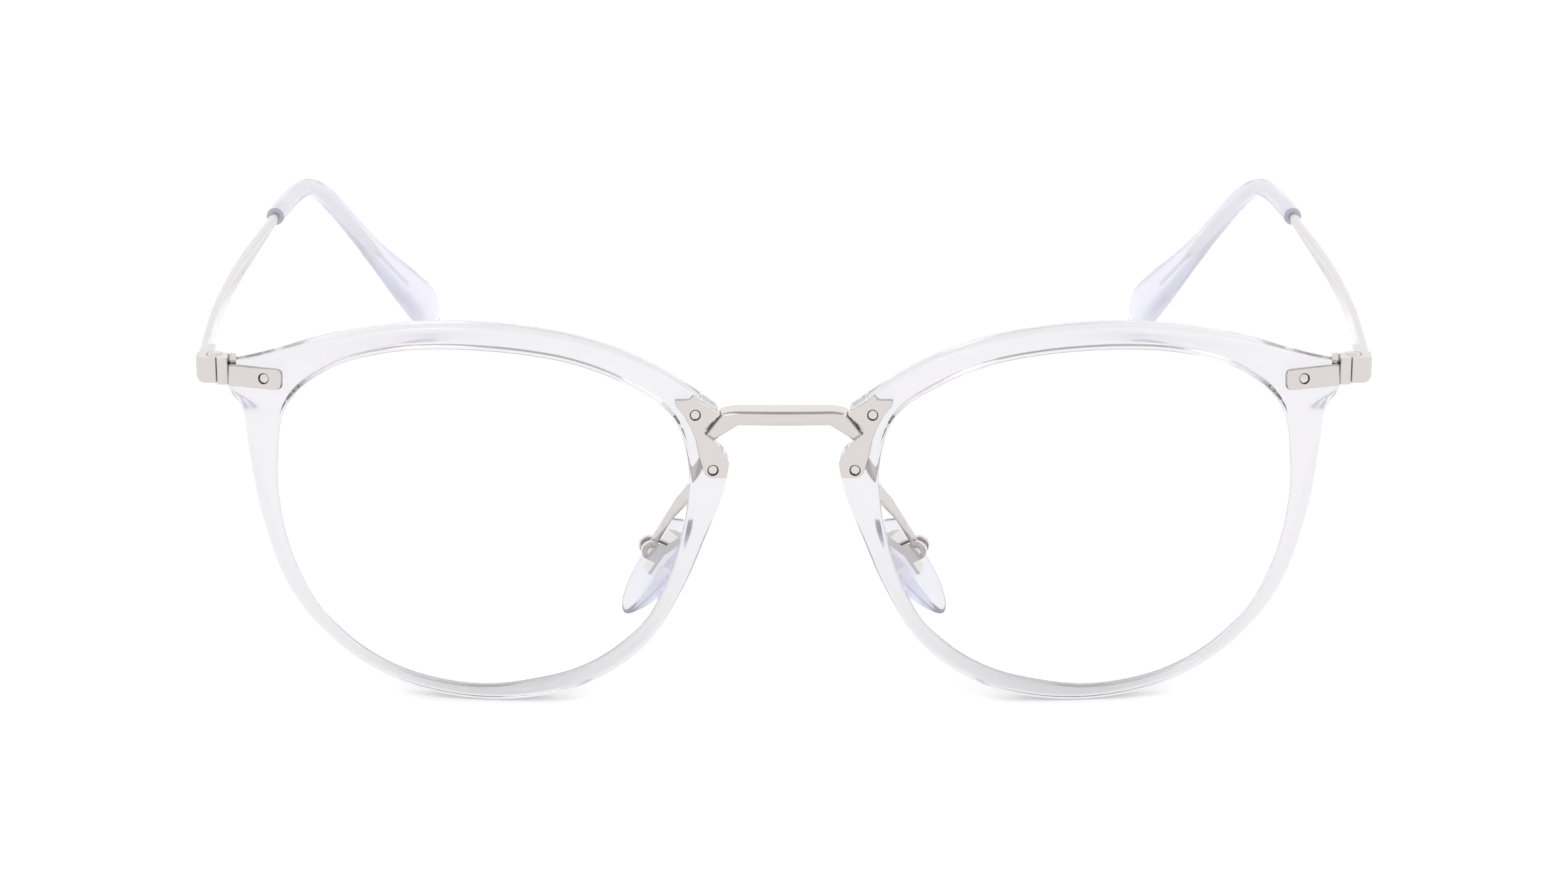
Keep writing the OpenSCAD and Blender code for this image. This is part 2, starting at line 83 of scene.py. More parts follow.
RIVET_R, RIVET_SUNK, END_RIVET_BACK = 0.64, 0.12, 1.75

# The room for the hinges, and the bridge bar's lower and upper edges from an eye's middle
HINGE_W0, HINGE_W1, HINGE_IN, HINGE_ROOM = 15.5, 18.8, 2.4, 0.2
BAR_LOW = [(-27.2, 10.0), (-27.5, 10.35), (-30.4, 12.25), (-EYE_X, 12.25)]
BAR_HIGH = [(-26.3, 11.3), (-26.7, 11.6), (-28.35, 13.7), (-29.85, 14.0), (-EYE_X, 14.0)]
BAR_FRONT, BAR_BACK, BAR_BOW, BAR_HALF = 0.95, 3.75, 0.3, 13

# The temples' middle line as (outwards and back from the pin, height), the strip's and the
# tip's heights and thicknesses along it, and where the mouth, the core wire and bore end
TEMPLE_LINE = [(1.95, 1.05, 40.1), (2.7, 14.5, 39.0), (3.25, 26, 38.15), (3.45, 38.5, 37.2),
               (3.4, 50.5, 36.3), (3.15, 61, 35.5), (2.8, 70.5, 34.8), (2.45, 79.5, 34.1),
               (2.2, 87.5, 33.5), (1.65, 95.5, 32.9), (0.85, 103, 32.35), (-0.15, 107.3, 31.8),
               (-1.55, 110, 30.45), (-3.2, 112.9, 27.75), (-5.4, 118.3, 22.8),
               (-7.5, 123.7, 17.85), (-9.6, 128.7, 13.3), (-11.75, 133.5, 8.9),
               (-13.15, 136.7, 6.0), (-14.3, 139.4, 3.4), (-15.3, 141.6, 1.3)]
TEMPLE_H = [(0, 2.9), (20, 2.8), (45, 2.4), (70, 1.7), (86, 1.4), (86.6, 0.8), (130, 0.75),
            (132, 0.4)]
TEMPLE_T = [(0, 0.9), (45, 1.0), (70, 1.3), (86, 1.35), (86.6, 0.8), (130, 0.75),
            (132, 0.4)]
TIP_H = [(86, 2.4), (90, 2.65), (113, 2.75), (119, 2.85), (126, 3.2), (133, 4.0), (138, 4.9),
         (143, 5.9), (147.5, 6.6), (151, 6.7), (152.5, 6.3), (153.6, 5.2), (154.4, 3.5),
         (155, 1.6)]
TIP_T = [(86, 2.4), (90, 2.6), (119, 2.6), (143, 2.9), (151, 2.9), (153, 2.4), (155, 1.0)]
MOUTH_S, CORE_S, BORE_S = 86, 142, 86.25

# The nose pads, their mounts and their arms
PAD_AT, PAD_FRONTAL, PAD_SPLAY = (-19.6, 7.3, -5.1), 33, 18
PAD_L, PAD_W, PAD_T, PAD_BACK, PAD_DROP, MOUNT_T = 15, 7.6, 1.7, -1.25, 1.3, 0.45
ARM_W, ARM_T, EYELET_R, EYELET_HOLE_R = 1.0, 0.55, 0.85, 0.4
ARM_LINE = [(-27.3, 4.3, 11.3), (-26.9, 4.2, 9.6), (-25.7, 4.3, 6.5), (-23.6, 5.0, 2.3),
            (-21.6, 6.1, -1.4), (-20.7, 7.1, -3.25), (-20.05, 7.3, -4.45)]


# ---- curves and surfaces ----

def spline(points, steps):
    """Smooth open curve through every point."""
    p = np.array(points, float)
    q = np.vstack([2 * p[0] - p[1], p, 2 * p[-1] - p[-2]])
    t = (np.arange(steps) / steps)[:, None]
    parts = []
    for i in range(len(p) - 1):
        a, b, c, d = q[i:i + 4]
        parts.append(0.5 * (2 * b + (c - a) * t + (2 * a - 5 * b + 4 * c - d) * t ** 2
                            + (3 * b - a - 3 * c + d) * t ** 3))
    return np.vstack(parts + [p[-1:]])


def opening(angle):
    """Radius of the lens opening in a direction, in radians."""
    s = (np.degrees(angle) % 360) / 15
    i = np.floor(s).astype(int)
    r = np.array(OPENING_R)
    a, b, c, d = (r[(i + k) % 24] for k in (-1, 0, 1, 2))
    t = s - i
    return 0.5 * (2 * b + (c - a) * t + (2 * a - 5 * b + 4 * c - d) * t ** 2
                  + (3 * b - a - 3 * c + d) * t ** 3)


def face_y(u, w, depth=0.0):
    """Y of the rims' curved face, or of the layer that lies depth behind it."""
    return CURVE_R * math.cos(WRAP) - np.sqrt(
        (CURVE_R - depth) ** 2 - (u + CURVE_R * math.sin(WRAP)) ** 2 - w ** 2)


def even(points, step, blur):
    """Closed outline at an even spacing, its corners softened over a length of blur."""
    p = np.array(points, float)
    q = np.vstack([p, p[:1]])
    s = np.concatenate([[0], np.cumsum(np.linalg.norm(np.diff(q, axis=0), axis=1))])
    n = int(s[-1] / step)
    at = np.arange(n) * s[-1] / n
    p = np.column_stack([np.interp(at, s, q[:, k]) for k in range(p.shape[1])])
    reach = max(1, round(blur / step))
    weights = np.hanning(2 * reach + 3)[1:-1]
    weights /= weights.sum()
    return sum(wt * np.roll(p, k - reach, axis=0) for k, wt in enumerate(weights))


def rounded(points, steps=5):
    """Outline whose corners (x, y, cut) are rounded over the length of their cut."""
    out, n = [], len(points)
    for i, (x, y, cut) in enumerate(points):
        c = np.array([x, y], float)
        if not cut:
            out.append(c)
            continue
        a, b = (np.array(points[j % n][:2], float) for j in (i - 1, i + 1))
        start = c + (a - c) / np.linalg.norm(a - c) * cut
        end = c + (b - c) / np.linalg.norm(b - c) * cut
        for t in np.linspace(0, 1, steps):
            out.append((1 - t) ** 2 * start + 2 * t * (1 - t) * c + t * t * end)
    return np.array(out)


def grown(points, by):
    """Anticlockwise outline moved out by a distance at right angles to its edges."""
    a = points - np.roll(points, 1, axis=0)
    b = np.roll(points, -1, axis=0) - points
    a /= np.linalg.norm(a, axis=1)[:, None]
    b /= np.linalg.norm(b, axis=1)[:, None]
    m = a + b
    m /= np.linalg.norm(m, axis=1)[:, None]
    scale = by / np.maximum((a * m).sum(1), 0.5)
    return points + scale[:, None] * np.column_stack([m[:, 1], -m[:, 0]])


def arc(centre, radius, start, end, steps):
    """Points on an arc; angles are in degrees."""
    a = np.radians(np.linspace(start, end, steps))
    return np.column_stack([centre[0] + radius * np.cos(a), centre[1] + radius * np.sin(a)])


# ---- making pieces ----

def skin(rings, closed=False):
    """Vertices and faces through rings of equal length: capped, or closed into a loop."""
    rings = [np.asarray(r, float) for r in rings]
    m, n = len(rings), len(rings[0])
    faces = []
    for j in range(m if closed else m - 1):
        k = (j + 1) % m
        for i in range(n):
            h = (i + 1) % n
            faces.append((j * n + i, j * n + h, k * n + h, k * n + i))
    if not closed:
        faces += [tuple(range(n)), tuple((m - 1) * n + i for i in range(n - 1, -1, -1))]
    return np.vstack(rings), faces


def joined(*parts):
    """One list of vertices and faces out of several."""
    verts, faces, n = [], [], 0
    for v, f in parts:
        verts.append(np.asarray(v, float))
        faces += [tuple(i + n for i in q) for q in f]
        n += len(v)
    return np.vstack(verts), faces


def mesh_object(name, part):
    """Blender object of vertices in millimetres, its faces turned outwards."""
    verts, faces = part
    mesh = bpy.data.meshes.new(name)
    mesh.from_pydata([tuple(v) for v in np.asarray(verts) * MM], [], faces)
    tool = bmesh.new()
    tool.from_mesh(mesh)
    bmesh.ops.recalc_face_normals(tool, faces=tool.faces)
    tool.to_mesh(mesh)
    tool.free()
    obj = bpy.data.objects.new(name, mesh)
    bpy.context.scene.collection.objects.link(obj)
    return obj


def bake(obj):
    """Applies an object's modifiers."""
    graph = bpy.context.evaluated_depsgraph_get()
    mesh = bpy.data.meshes.new_from_object(obj.evaluated_get(graph))
    obj.modifiers.clear()
    obj.data = mesh


def boolean(obj, others, operation="DIFFERENCE"):
    """Cuts other objects out of one, or adds them to it; the others are used up."""
    for other in others:
        mod = obj.modifiers.new("join", "BOOLEAN")
        mod.object, mod.operation, mod.solver = other, operation, "MANIFOLD"
        bake(obj)
        bpy.data.objects.remove(other)
    return obj


def soften(obj, width):
    """Rounds an object's sharp edges by a width in millimetres."""
    tool = bmesh.new()
    tool.from_mesh(obj.data)
    bmesh.ops.remove_doubles(tool, verts=tool.verts, dist=0.001 * MM)
    bmesh.ops.dissolve_limit(tool, angle_limit=math.radians(1), verts=tool.verts,
                             edges=tool.edges)
    tool.to_mesh(obj.data)
    tool.free()
    mod = obj.modifiers.new("bevel", "BEVEL")
    mod.width, mod.segments = width * MM, 2
    mod.limit_method, mod.angle_limit = "ANGLE", math.radians(30)
    mod.use_clamp_overlap = True
    bake(obj)


def finish_piece(obj, material, body, nodes=(), angle=35, flat_faces=False):
    """Shades a piece, gives it its material and fixes it to its body."""
    obj.data.polygons.foreach_set("use_smooth", [True] * len(obj.data.polygons))
    obj.data.set_sharp_from_angle(angle=math.radians(angle))
    if flat_faces:
        mod = obj.modifiers.new("normals", "WEIGHTED_NORMAL")
        mod.keep_sharp, mod.weight = True, 100
        bake(obj)
    obj.data.materials.clear()
    obj.data.materials.append(material)
    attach(obj, body)
    if nodes:
        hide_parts(*nodes)
    return obj


def at_eye(points, side):
    """Points (u, y, w) of one eye, in the row frame."""
    p = np.asarray(points, float)
    return np.column_stack([side * (EYE_X + p[:, 0]), FRONT_Y + p[:, 1], EYE_Z + p[:, 2]])


def at_pin(points, side):
    """Points measured from a hinge pin, with z above the floor, in the row frame."""
    p = np.asarray(points, float)
    return np.column_stack([side * (EYE_X + PIN_U + p[:, 0]), FRONT_Y + PIN_Y + p[:, 1],
                            p[:, 2]])


def turned(x, y, z):
    """Rotation about Z, then Y, then X, in degrees, as the part's source orders it."""
    m = (Matrix.Rotation(math.radians(z), 3, "Z") @ Matrix.Rotation(math.radians(y), 3, "Y")
         @ Matrix.Rotation(math.radians(x), 3, "X"))
    return np.array(m)


def on_face(points, at, side):
    """Points (along, into the rim, up) of the frame on the rim's face at (u, w)."""
    tilt = math.degrees(math.asin(at[1] / CURVE_R))
    turn = math.degrees(math.asin((at[0] + CURVE_R * math.sin(WRAP))
                                  / (CURVE_R * math.cos(math.radians(tilt)))))
    p = np.asarray(points, float) @ turned(-tilt, 0, turn).T
    return at_eye(p + np.array([at[0], face_y(at[0], at[1]), at[1]]), side)


def at_pad(points, side):
    """Points of a nose pad's own frame: x away from the nose, y along its screw."""
    m = turned(0, -PAD_FRONTAL, 0) @ turned(0, 0, -PAD_SPLAY)
    return at_eye(np.asarray(points, float) @ m.T + np.array(PAD_AT), side)


def slab(outline, levels):
    """Prism of an outline in (x, z): levels are (y, how far its edge is moved out)."""
    rings = []
    for y, by in levels:
        p = grown(outline, by) if by else outline
        rings.append(np.column_stack([p[:, 0], np.full(len(p), y), p[:, 1]]))
    return skin(rings)


def lathe(profile, sides=32):
    """Solid of (radius, y) points turned about the Y axis."""
    a = np.arange(sides) * 2 * math.pi / sides
    return skin([np.column_stack([r * np.cos(a), np.full(sides, y), r * np.sin(a)])
                 for r, y in profile])


# ---- materials ----

def material(name):
    """New material with its Principled shader and a maker of further nodes."""
    mat = bpy.data.materials.new(name)
    mat.use_nodes = True
    tree = mat.node_tree
    shader = tree.nodes["Principled BSDF"]

    def node(kind, **values):
        n = tree.nodes.new(kind)
        for key, value in values.items():
            if key in n.inputs:
                n.inputs[key].default_value = value
            else:
                setattr(n, key.lower(), value)
        return n

    return mat, tree, shader, node


def texture(tree, node, scale, detail):
    """Noise in the object's own coordinates; scale is in features per metre."""
    where = node("ShaderNodeTexCoord")
    noise = node("ShaderNodeTexNoise", Scale=scale, Detail=detail)
    tree.links.new(where.outputs["Object"], noise.inputs["Vector"])
    return noise


def ramp(tree, node, source, low, high, socket):
    """Feeds a socket with a value that follows a texture's middle range."""
    n = node("ShaderNodeMapRange", clamp=True)
    n.inputs["From Min"].default_value = 0.35
    n.inputs["From Max"].default_value = 0.65
    n.inputs["To Min"].default_value = low
    n.inputs["To Max"].default_value = high
    tree.links.new(source.outputs["Fac"], n.inputs["Value"])
    tree.links.new(n.outputs["Result"], socket)


def tint(tree, node, source, low, high, socket):
    """Feeds a colour socket with a mix of two colours that follows a texture."""
    mix = node("ShaderNodeMix", data_type="RGBA")
    colours = [i for i in mix.inputs if i.type == "RGBA"]
    colours[0].default_value = (*low, 1)
    colours[1].default_value = (*high, 1)
    tree.links.new(source.outputs["Fac"], mix.inputs["Factor"])
    tree.links.new([o for o in mix.outputs if o.type == "RGBA"][0], socket)


def bump(tree, node, shader, source, distance, strength):
    """Fine surface relief; the distance is in metres."""
    n = node("ShaderNodeBump", Strength=strength, Distance=distance)
    tree.links.new(source.outputs["Fac"], n.inputs["Height"])
    tree.links.new(n.outputs["Normal"], shader.inputs["Normal"])


def metal(name, colour, rough, grain):
    """Metal whose tone and roughness vary softly, with a fine grain."""
    mat, tree, shader, node = material(name)
    cloud = texture(tree, node, 260, 3)
    fine = texture(tree, node, grain, 4)
    low = tuple(0.97 * c for c in colour)
    tint(tree, node, cloud, low, colour, shader.inputs["Base Color"])
    shader.inputs["Metallic"].default_value = 1.0
    ramp(tree, node, cloud, rough[0], rough[1], shader.inputs["Roughness"])
    bump(tree, node, shader, fine, 0.004 * MM, 0.35)
    return mat


def plastic(name, colour, rough, wave, clear=1.0, absorb=None, density=0):
    """Clear plastic: clear is the share that isn't milky, and absorb the colour left by
    its depth."""
    mat, tree, shader, node = material(name)
    cloud = texture(tree, node, 120, 2)
    tint(tree, node, cloud, tuple(0.995 * c for c in colour), colour,
         shader.inputs["Base Color"])
    shader.inputs["Transmission Weight"].default_value = clear
    shader.inputs["IOR"].default_value = 1.49
    ramp(tree, node, cloud, rough[0], rough[1], shader.inputs["Roughness"])
    bump(tree, node, shader, cloud, 0.03 * MM, wave)
    if absorb:
        volume = node("ShaderNodeVolumeAbsorption", Density=density)
        volume.inputs["Color"].default_value = (*absorb, 1)
        tree.links.new(volume.outputs["Volume"],
                       tree.nodes["Material Output"].inputs["Volume"])
    return mat


SATIN = metal("satin_silver", (0.575, 0.546, 0.534), (0.14, 0.24), 9000)
POLISHED = metal("polished_silver", (0.6, 0.574, 0.565), (0.1, 0.18), 6000)
STEEL = metal("temple_steel", (0.52, 0.505, 0.508), (0.12, 0.2), 9000)
CORE = metal("bright_core_wire", (0.95, 0.94, 0.95), (0.3, 0.38), 6000)
RIM_CLEAR = plastic("clear_acetate", (0.735, 0.725, 0.75), (0.06, 0.1), 0.03, clear=0.94,
                    absorb=(0.17, 0.15, 0.30), density=3)
LENS_CLEAR = plastic("clear_lens", (1.0, 1.0, 1.0), (0.0, 0.01), 0.02)
LENS_EDGE = plastic("ground_lens_edge", (0.96, 0.96, 0.965), (0.5, 0.6), 0.1, clear=0.5)
TIP_CLEAR = plastic("clear_tip", (0.87, 0.86, 0.89), (0.14, 0.2), 0.05, clear=0.64,
                    absorb=(0.06, 0.08, 0.75), density=36)
PAD_CLEAR = plastic("clear_pad", (0.81, 0.805, 0.84), (0.06, 0.12), 0.05, clear=0.88,
                    absorb=(0.1, 0.1, 0.7), density=45)


# ---- camera, floor and light ----

def studio():
    """The camera, a faintly glowing white floor, a soft white dome and two lamps."""
    cam = bpy.data.cameras.new("camera")
    cam.lens, cam.sensor_width = 107.085, 36
    cam.clip_start, cam.clip_end = 0.01, 20
    rig = bpy.data.objects.new("camera", cam)
    elevation, distance = math.radians(19), 0.55
    aim = Vector((0, FRONT_Y * MM, 34.06 * MM))
    rig.location = aim + distance * Vector((0, -math.cos(elevation), math.sin(elevation)))
    rig.rotation_euler = (math.pi / 2 - elevation, 0, 0)
    bpy.context.scene.collection.objects.link(rig)
    bpy.context.scene.camera = rig

    mat, tree, shader, node = material("floor_white")
    cloud = texture(tree, node, 3, 1)
    tint(tree, node, cloud, (0.965, 0.965, 0.965), (0.97, 0.97, 0.97),
         shader.inputs["Base Color"])
    shader.inputs["Roughness"].default_value = 0.9
    shader.inputs["Emission Color"].default_value = (1, 1, 1, 1)
    shader.inputs["Emission Strength"].default_value = 0.15
    shader.inputs["Specular IOR Level"].default_value = 0.1
    span = 4000
    corners = [(-span, -span, 0), (span, -span, 0), (span, span, 0), (-span, span, 0)]
    floor = mesh_object("floor", (corners, [(0, 1, 2, 3)]))
    floor.data.materials.append(mat)

    world = bpy.data.worlds.new("studio")
    world.use_nodes = True
    bpy.context.scene.world = world
    tree = world.node_tree
    background = tree.nodes["Background"]
    where = tree.nodes.new("ShaderNodeTexCoord")
    split = tree.nodes.new("ShaderNodeSeparateXYZ")
    shade = tree.nodes.new("ShaderNodeValToRGB")
    tree.links.new(where.outputs["Generated"], split.inputs["Vector"])
    tree.links.new(split.outputs["Z"], shade.inputs["Fac"])
    tree.links.new(shade.outputs["Color"], background.inputs["Color"])
    # Brightness by the sine of the elevation: the darker part overhead draws edges.
    stops = [(0.0, 0.85), (0.07, 0.97), (0.7, 1.0), (0.9, 0.5), (1.0, 0.4)]
    elements = shade.color_ramp.elements
    while len(elements) < len(stops):
        elements.new(0.5)
    for element, (place, level) in zip(elements, stops):
        element.position = place
        element.color = (level, level, level, 1)
    background.inputs["Strength"].default_value = 1.32

    for name, place, size, power in (("key", (-0.5, -0.7, 1.2), 0.4, 1.8),
                                     ("fill", (0.8, -0.2, 0.9), 0.35, 0.9)):
        lamp = bpy.data.lights.new(name, "AREA")
        lamp.size, lamp.energy = size, power
        light = bpy.data.objects.new(name, lamp)
        light.location = place
        light.rotation_euler = (-Vector(place)).to_track_quat("-Z", "Y").to_euler()
        bpy.context.scene.collection.objects.link(light)

    bpy.context.scene.view_settings.view_transform = "Standard"


# ---- front ----

def rim_columns():
    """Outer radius and direction round the rim, evenly spaced."""
    line = np.vstack([spline(RIM_TOP, 12), RIM_NOTCH, spline(RIM_LOW, 12), RIM_END])
    p = even(line, 0.4, 0.5)
    return np.linalg.norm(p, axis=1), np.arctan2(p[:, 1], p[:, 0])


def ease(t):
    """Smooth step from 0 to 1 as t goes from 0 to 1."""
    c = np.clip(t, 0, 1)
    return c * c * (3 - 2 * c)


def rim_profile(ri, ro, back):
    """Cross-section of the rim as (radius, depth), closed, from the lens side's front."""
    eo, ei = 0.5, 0.3
    front_in = arc((ri + ei, ei), ei, 180, 270, 5)
    front_out = arc((ro - eo, eo), eo, 270, 360, 7)
    back_out = arc((ro - eo, back - eo), eo, 0, 90, 7)
    back_in = arc((ri + ei, RIM_DEPTH - ei), ei, 90, 180, 5)

    def between(a, b, n):
        t = np.linspace(0, 1, n + 2)[1:-1, None]
        return a + (b - a) * t

    return np.vstack([front_in, between(front_in[-1], front_out[0], 4), front_out,
                      between(front_out[-1], back_out[0], 1), back_out,
                      between(back_out[-1], back_in[0], 4), back_in,
                      between(back_in[-1], front_in[0], 3)])


def polar(angle, r, depth):
    """Points of one eye at radii in one direction and depths behind the face."""
    u, w = r * math.cos(angle), r * math.sin(angle)
    return np.column_stack([u, face_y(u, w, depth), w])


def cylinder_on_face(at, side, r, shift=0.0):
    """Cutter at right angles to the rim's face."""
    part = lathe([(r, -3), (r, 6)], 40)
    return mesh_object("cutter", (on_face(part[0] + [shift, 0, 0], at, side), part[1]))


def wing_outline():
    return rounded(WING) - np.array(WING_MID)


def end_outline():
    h = END_H / 2
    return rounded([(END_OUT, h, 0), (END_IN, h, END_CORNER), (END_IN, -h, END_CORNER),
                    (END_OUT, -h, 0)])


def rims():
    """Both rims, with the plates' seats, the rivet holes and the room for the hinges."""
    ro, angle = rim_columns()
    ri = opening(angle)
    for word, side in SIDES:
        rings = []
        for a, inner, outer in zip(angle, ri, ro):
            u, w = outer * math.cos(a), outer * math.sin(a)
            back = RIM_DEPTH - CORNER_THINNER * ease((u - 18) / 10) * ease((w - 2) / 10)
            p = rim_profile(inner, outer, back)
            rings.append(at_eye(polar(a, p[:, 0], p[:, 1]), side))
        rim = mesh_object("rim_" + word + "_clear", skin(rings, closed=True))
        seat = PLATE_T - PLATE_PROUD + SEAT_GAP
        cutters = []
        for outline, mid in ((wing_outline(), WING_MID), (end_outline(), END_MID)):
            v, f = slab(grown(outline, SEAT_GAP), [(-4, 0), (seat, 0)])
            cutters.append(mesh_object("cutter", (on_face(v, mid, side), f)))
        for at in WING_RIVETS:
            cutters.append(cylinder_on_face(at, side, RIVET_R + SEAT_GAP))
        cutters.append(cylinder_on_face(END_MID, side, RIVET_R + SEAT_GAP, END_RIVET))
        x0, x1 = PIN_U - HINGE_IN - SEAT_GAP, 45
        w0, w1 = HINGE_W0 - HINGE_ROOM, HINGE_W1 + HINGE_ROOM
        base = np.array([[x0, w0], [x1, w0], [x1, w1], [x0, w1]])
        v, f = slab(base, [(-5, 0), (25, 0)])
        cutters.append(mesh_object("cutter", (at_eye(v, side), f)))
        boolean(rim, cutters)
        finish_piece(rim, RIM_CLEAR, "front", ["rim_" + word], angle=40)


def lenses():
    """Both lenses, with ground edges that meet the rims."""
    angle = rim_columns()[1]
    ri = opening(angle)
    for word, side in SIDES:
        shares = np.linspace(0.04, 1, 18)[:-1]
        back = LENS_SET + LENS_T
        bevel = [(0.2, 0.0), (0.06, 0.04), (0.0, 0.18)]
        inset = bevel[0][0]
        rows = [(share, inset, LENS_SET) for share in shares]
        rows += [(1, by, LENS_SET + deep) for by, deep in bevel]
        rows += [(1, by, back - deep) for by, deep in bevel[::-1]]
        rows += [(share, inset, back) for share in shares[::-1]]
        rings = []
        for share, by, depth in rows:
            r = share * (ri - SEAT_GAP - by)
            u, w = r * np.cos(angle), r * np.sin(angle)
            rings.append(at_eye(np.column_stack([u, face_y(u, w, depth), w]), side))
        lens = mesh_object("lens_" + word + "_clear", skin(rings))
        finish_piece(lens, LENS_CLEAR, "front", ["lens_" + word], angle=25)
        lens.data.materials.append(LENS_EDGE)
        for face in lens.data.polygons:
            face.material_index = int(abs(face.normal.y) < 0.6)


def plate_levels(bevel):
    """Levels of a plate whose front edge is rounded."""
    top, low = -PLATE_PROUD, PLATE_T - PLATE_PROUD
    a = np.radians([0, 22.5, 45, 67.5, 90])
    front = [(top + bevel * (1 - math.sin(t)), -bevel * (1 - math.cos(t))) for t in a[::-1]]
    return front + [(low - 0.06, 0), (low, -0.06)]


def bridge():
    """Wing plates on both rims and the bent bar between them, in one piece."""
    pieces = []
    for word, side in SIDES:
        v, f = slab(wing_outline(), plate_levels(0.12))
        wing = mesh_object("wing", (on_face(v, WING_MID, side), f))
        boolean(wing, [cylinder_on_face(at, side, RIVET_R + SEAT_GAP) for at in WING_RIVETS])
        pieces.append(wing)
    lower, upper = (np.array(edge) + [EYE_X, 0] for edge in (BAR_LOW, BAR_HIGH))

    def chain(points, marks):
        """Half of the bar's edge at the given shares, softened at its corners."""
        full = np.vstack([points, points[::-1][1:] * [-1, 1]])
        s = np.concatenate([[0], np.cumsum(np.linalg.norm(np.diff(full, axis=0), axis=1))])
        fine = np.linspace(0, s[-1], 400)
        p = np.column_stack([np.interp(fine, s, full[:, k]) for k in range(2)])
        kernel = np.hanning(17)
        kernel /= kernel.sum()
        pad = np.vstack([np.repeat(p[:1], 8, 0), p, np.repeat(p[-1:], 8, 0)])
        p = np.column_stack([np.convolve(pad[:, k], kernel, "valid") for k in range(2)])
        knots = [s[i] / s[-1] for i in marks] + [0.5]
        share = np.concatenate([np.linspace(a, b, 14)[:-1] for a, b in zip(knots, knots[1:])])
        share = np.concatenate([share, [0.5], 1 - share[::-1]])
        return np.column_stack([np.interp(share * s[-1], fine, p[:, k]) for k in range(2)])

    low, high = chain(lower, (0, 1, 2)), chain(upper, (0, 1, 2))
    rings = []
    for b, t in zip(low, high):
        x = (b[0] + t[0]) / 2
        bow = BAR_BOW * math.cos(math.pi * min(abs(x) / BAR_HALF, 0.5))
        front, back = BAR_FRONT - bow, BAR_BACK
        up = (t - b) / np.linalg.norm(t - b)
        h = np.linalg.norm(t - b)
        r, top = 0.38, 0.65
        section = np.vstack([arc((h - top, front + top), top, 0, -90, 9),
                             arc((r, front + r), r, 270, 180, 6),
                             arc((0.2, back - 0.2), 0.2, 180, 90, 4),
                             arc((h - 0.2, back - 0.2), 0.2, 90, 0, 4)])
        points = b + section[:, :1] * up
        rings.append(np.column_stack([points[:, 0], FRONT_Y + section[:, 1],
                                      EYE_Z + points[:, 1]]))
    bar = mesh_object("bridge_metal", skin(rings))
    boolean(bar, pieces, "UNION")
    finish_piece(bar, SATIN, "front", ["bridge"], 40, flat_faces=True)


def rivets():
    """Rivet heads, a little sunk and domed, with their shanks."""
    def shape(back):
        head = RIVET_SUNK - PLATE_PROUD
        return [(0.02, head - 0.02), (0.4, head - 0.01), (0.5, head + 0.01),
                (0.54, head + 0.04), (0.56, head + 0.09), (0.575, head + 0.3),
                (RIVET_R, head + 0.35), (RIVET_R, back - 0.05), (RIVET_R - 0.06, back)]

    bridge_parts, end_parts = [], []
    for word, side in SIDES:
        for at in WING_RIVETS:
            v, f = lathe(shape(RIM_DEPTH))
            bridge_parts.append((on_face(v, at, side), f))
        v, f = lathe(shape(END_RIVET_BACK))
        end_parts.append((on_face(v + [END_RIVET, 0, 0], END_MID, side), f))
    for name, parts in (("bridge_rivets", bridge_parts), ("end_piece_rivets", end_parts)):
        obj = mesh_object(name + "_heads", joined(*parts))
        finish_piece(obj, POLISHED, "front", [name], 30, flat_faces=True)


def end_pieces():
    """The plates let into the rims' outer corners."""
    for word, side in SIDES:
        v, f = slab(end_outline(), plate_levels(0.2))
        plate = mesh_object("end_plate_" + word, (on_face(v, END_MID, side), f))
        boolean(plate, [cylinder_on_face(END_MID, side, RIVET_R + SEAT_GAP, END_RIVET)])
        finish_piece(plate, SATIN, "front", ["end_piece_" + word], 40,
                     flat_faces=True)


def small_metal():
    """Hinge and pad fittings: the CAD shapes with their edges rounded."""
    plan = [("hinge_front_", "front", SATIN, "satin_metal", 0.18),
            ("hinge_lock_pin_", "front", POLISHED, "polished_metal", 0.05),
            ("hinge_screw_", "front", POLISHED, "polished_metal", 0.05),
            ("temple_hinge_", "temple_", SATIN, "satin_metal", 0.22),
            ("pad_mount_", "nose_pad_", POLISHED, "polished_metal", 0.1),
            ("pad_screw_", "nose_pad_", POLISHED, "polished_metal", 0.06)]
    for stem, body, mat, slot_name, width in plan:
        for word, side in SIDES:
            node = stem + word
            obj = bpy.data.objects.new(node + "_fine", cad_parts[node].data.copy())
            bpy.context.scene.collection.objects.link(obj)
            soften(obj, width)
            finish_piece(obj, mat, body if body == "front" else body + word,
                         [node], 40, flat_faces=True)


# ---- temples ----

def lengths(p):
    """Length along a path at each of its points."""
    return np.concatenate([[0], np.cumsum(np.linalg.norm(np.diff(p, axis=0), axis=1))])


def ring(p, i, h, t, sides, power=1.0):
    """Oval of height h and thickness t across a path; a low power squares its corners."""
    along = p[min(i + 1, len(p) - 1)] - p[max(i - 1, 0)]
    along = along / np.linalg.norm(along)
    up = np.array([0, 0, 1.0]) - along[2] * along
    up /= np.linalg.norm(up)
    across = np.cross(up, along)
    a = 2 * math.pi * (np.arange(sides) + 0.5) / sides
    c, s = np.cos(a), np.sin(a)
    return p[i] + np.outer(t / 2 * np.sign(c) * np.abs(c) ** power, across) \
        + np.outer(h / 2 * np.sign(s) * np.abs(s) ** power, up)


def look(table, s):
    """Value at s, read from pairs of a length and a value."""
    return np.interp(s, [a for a, b in table], [b for a, b in table])


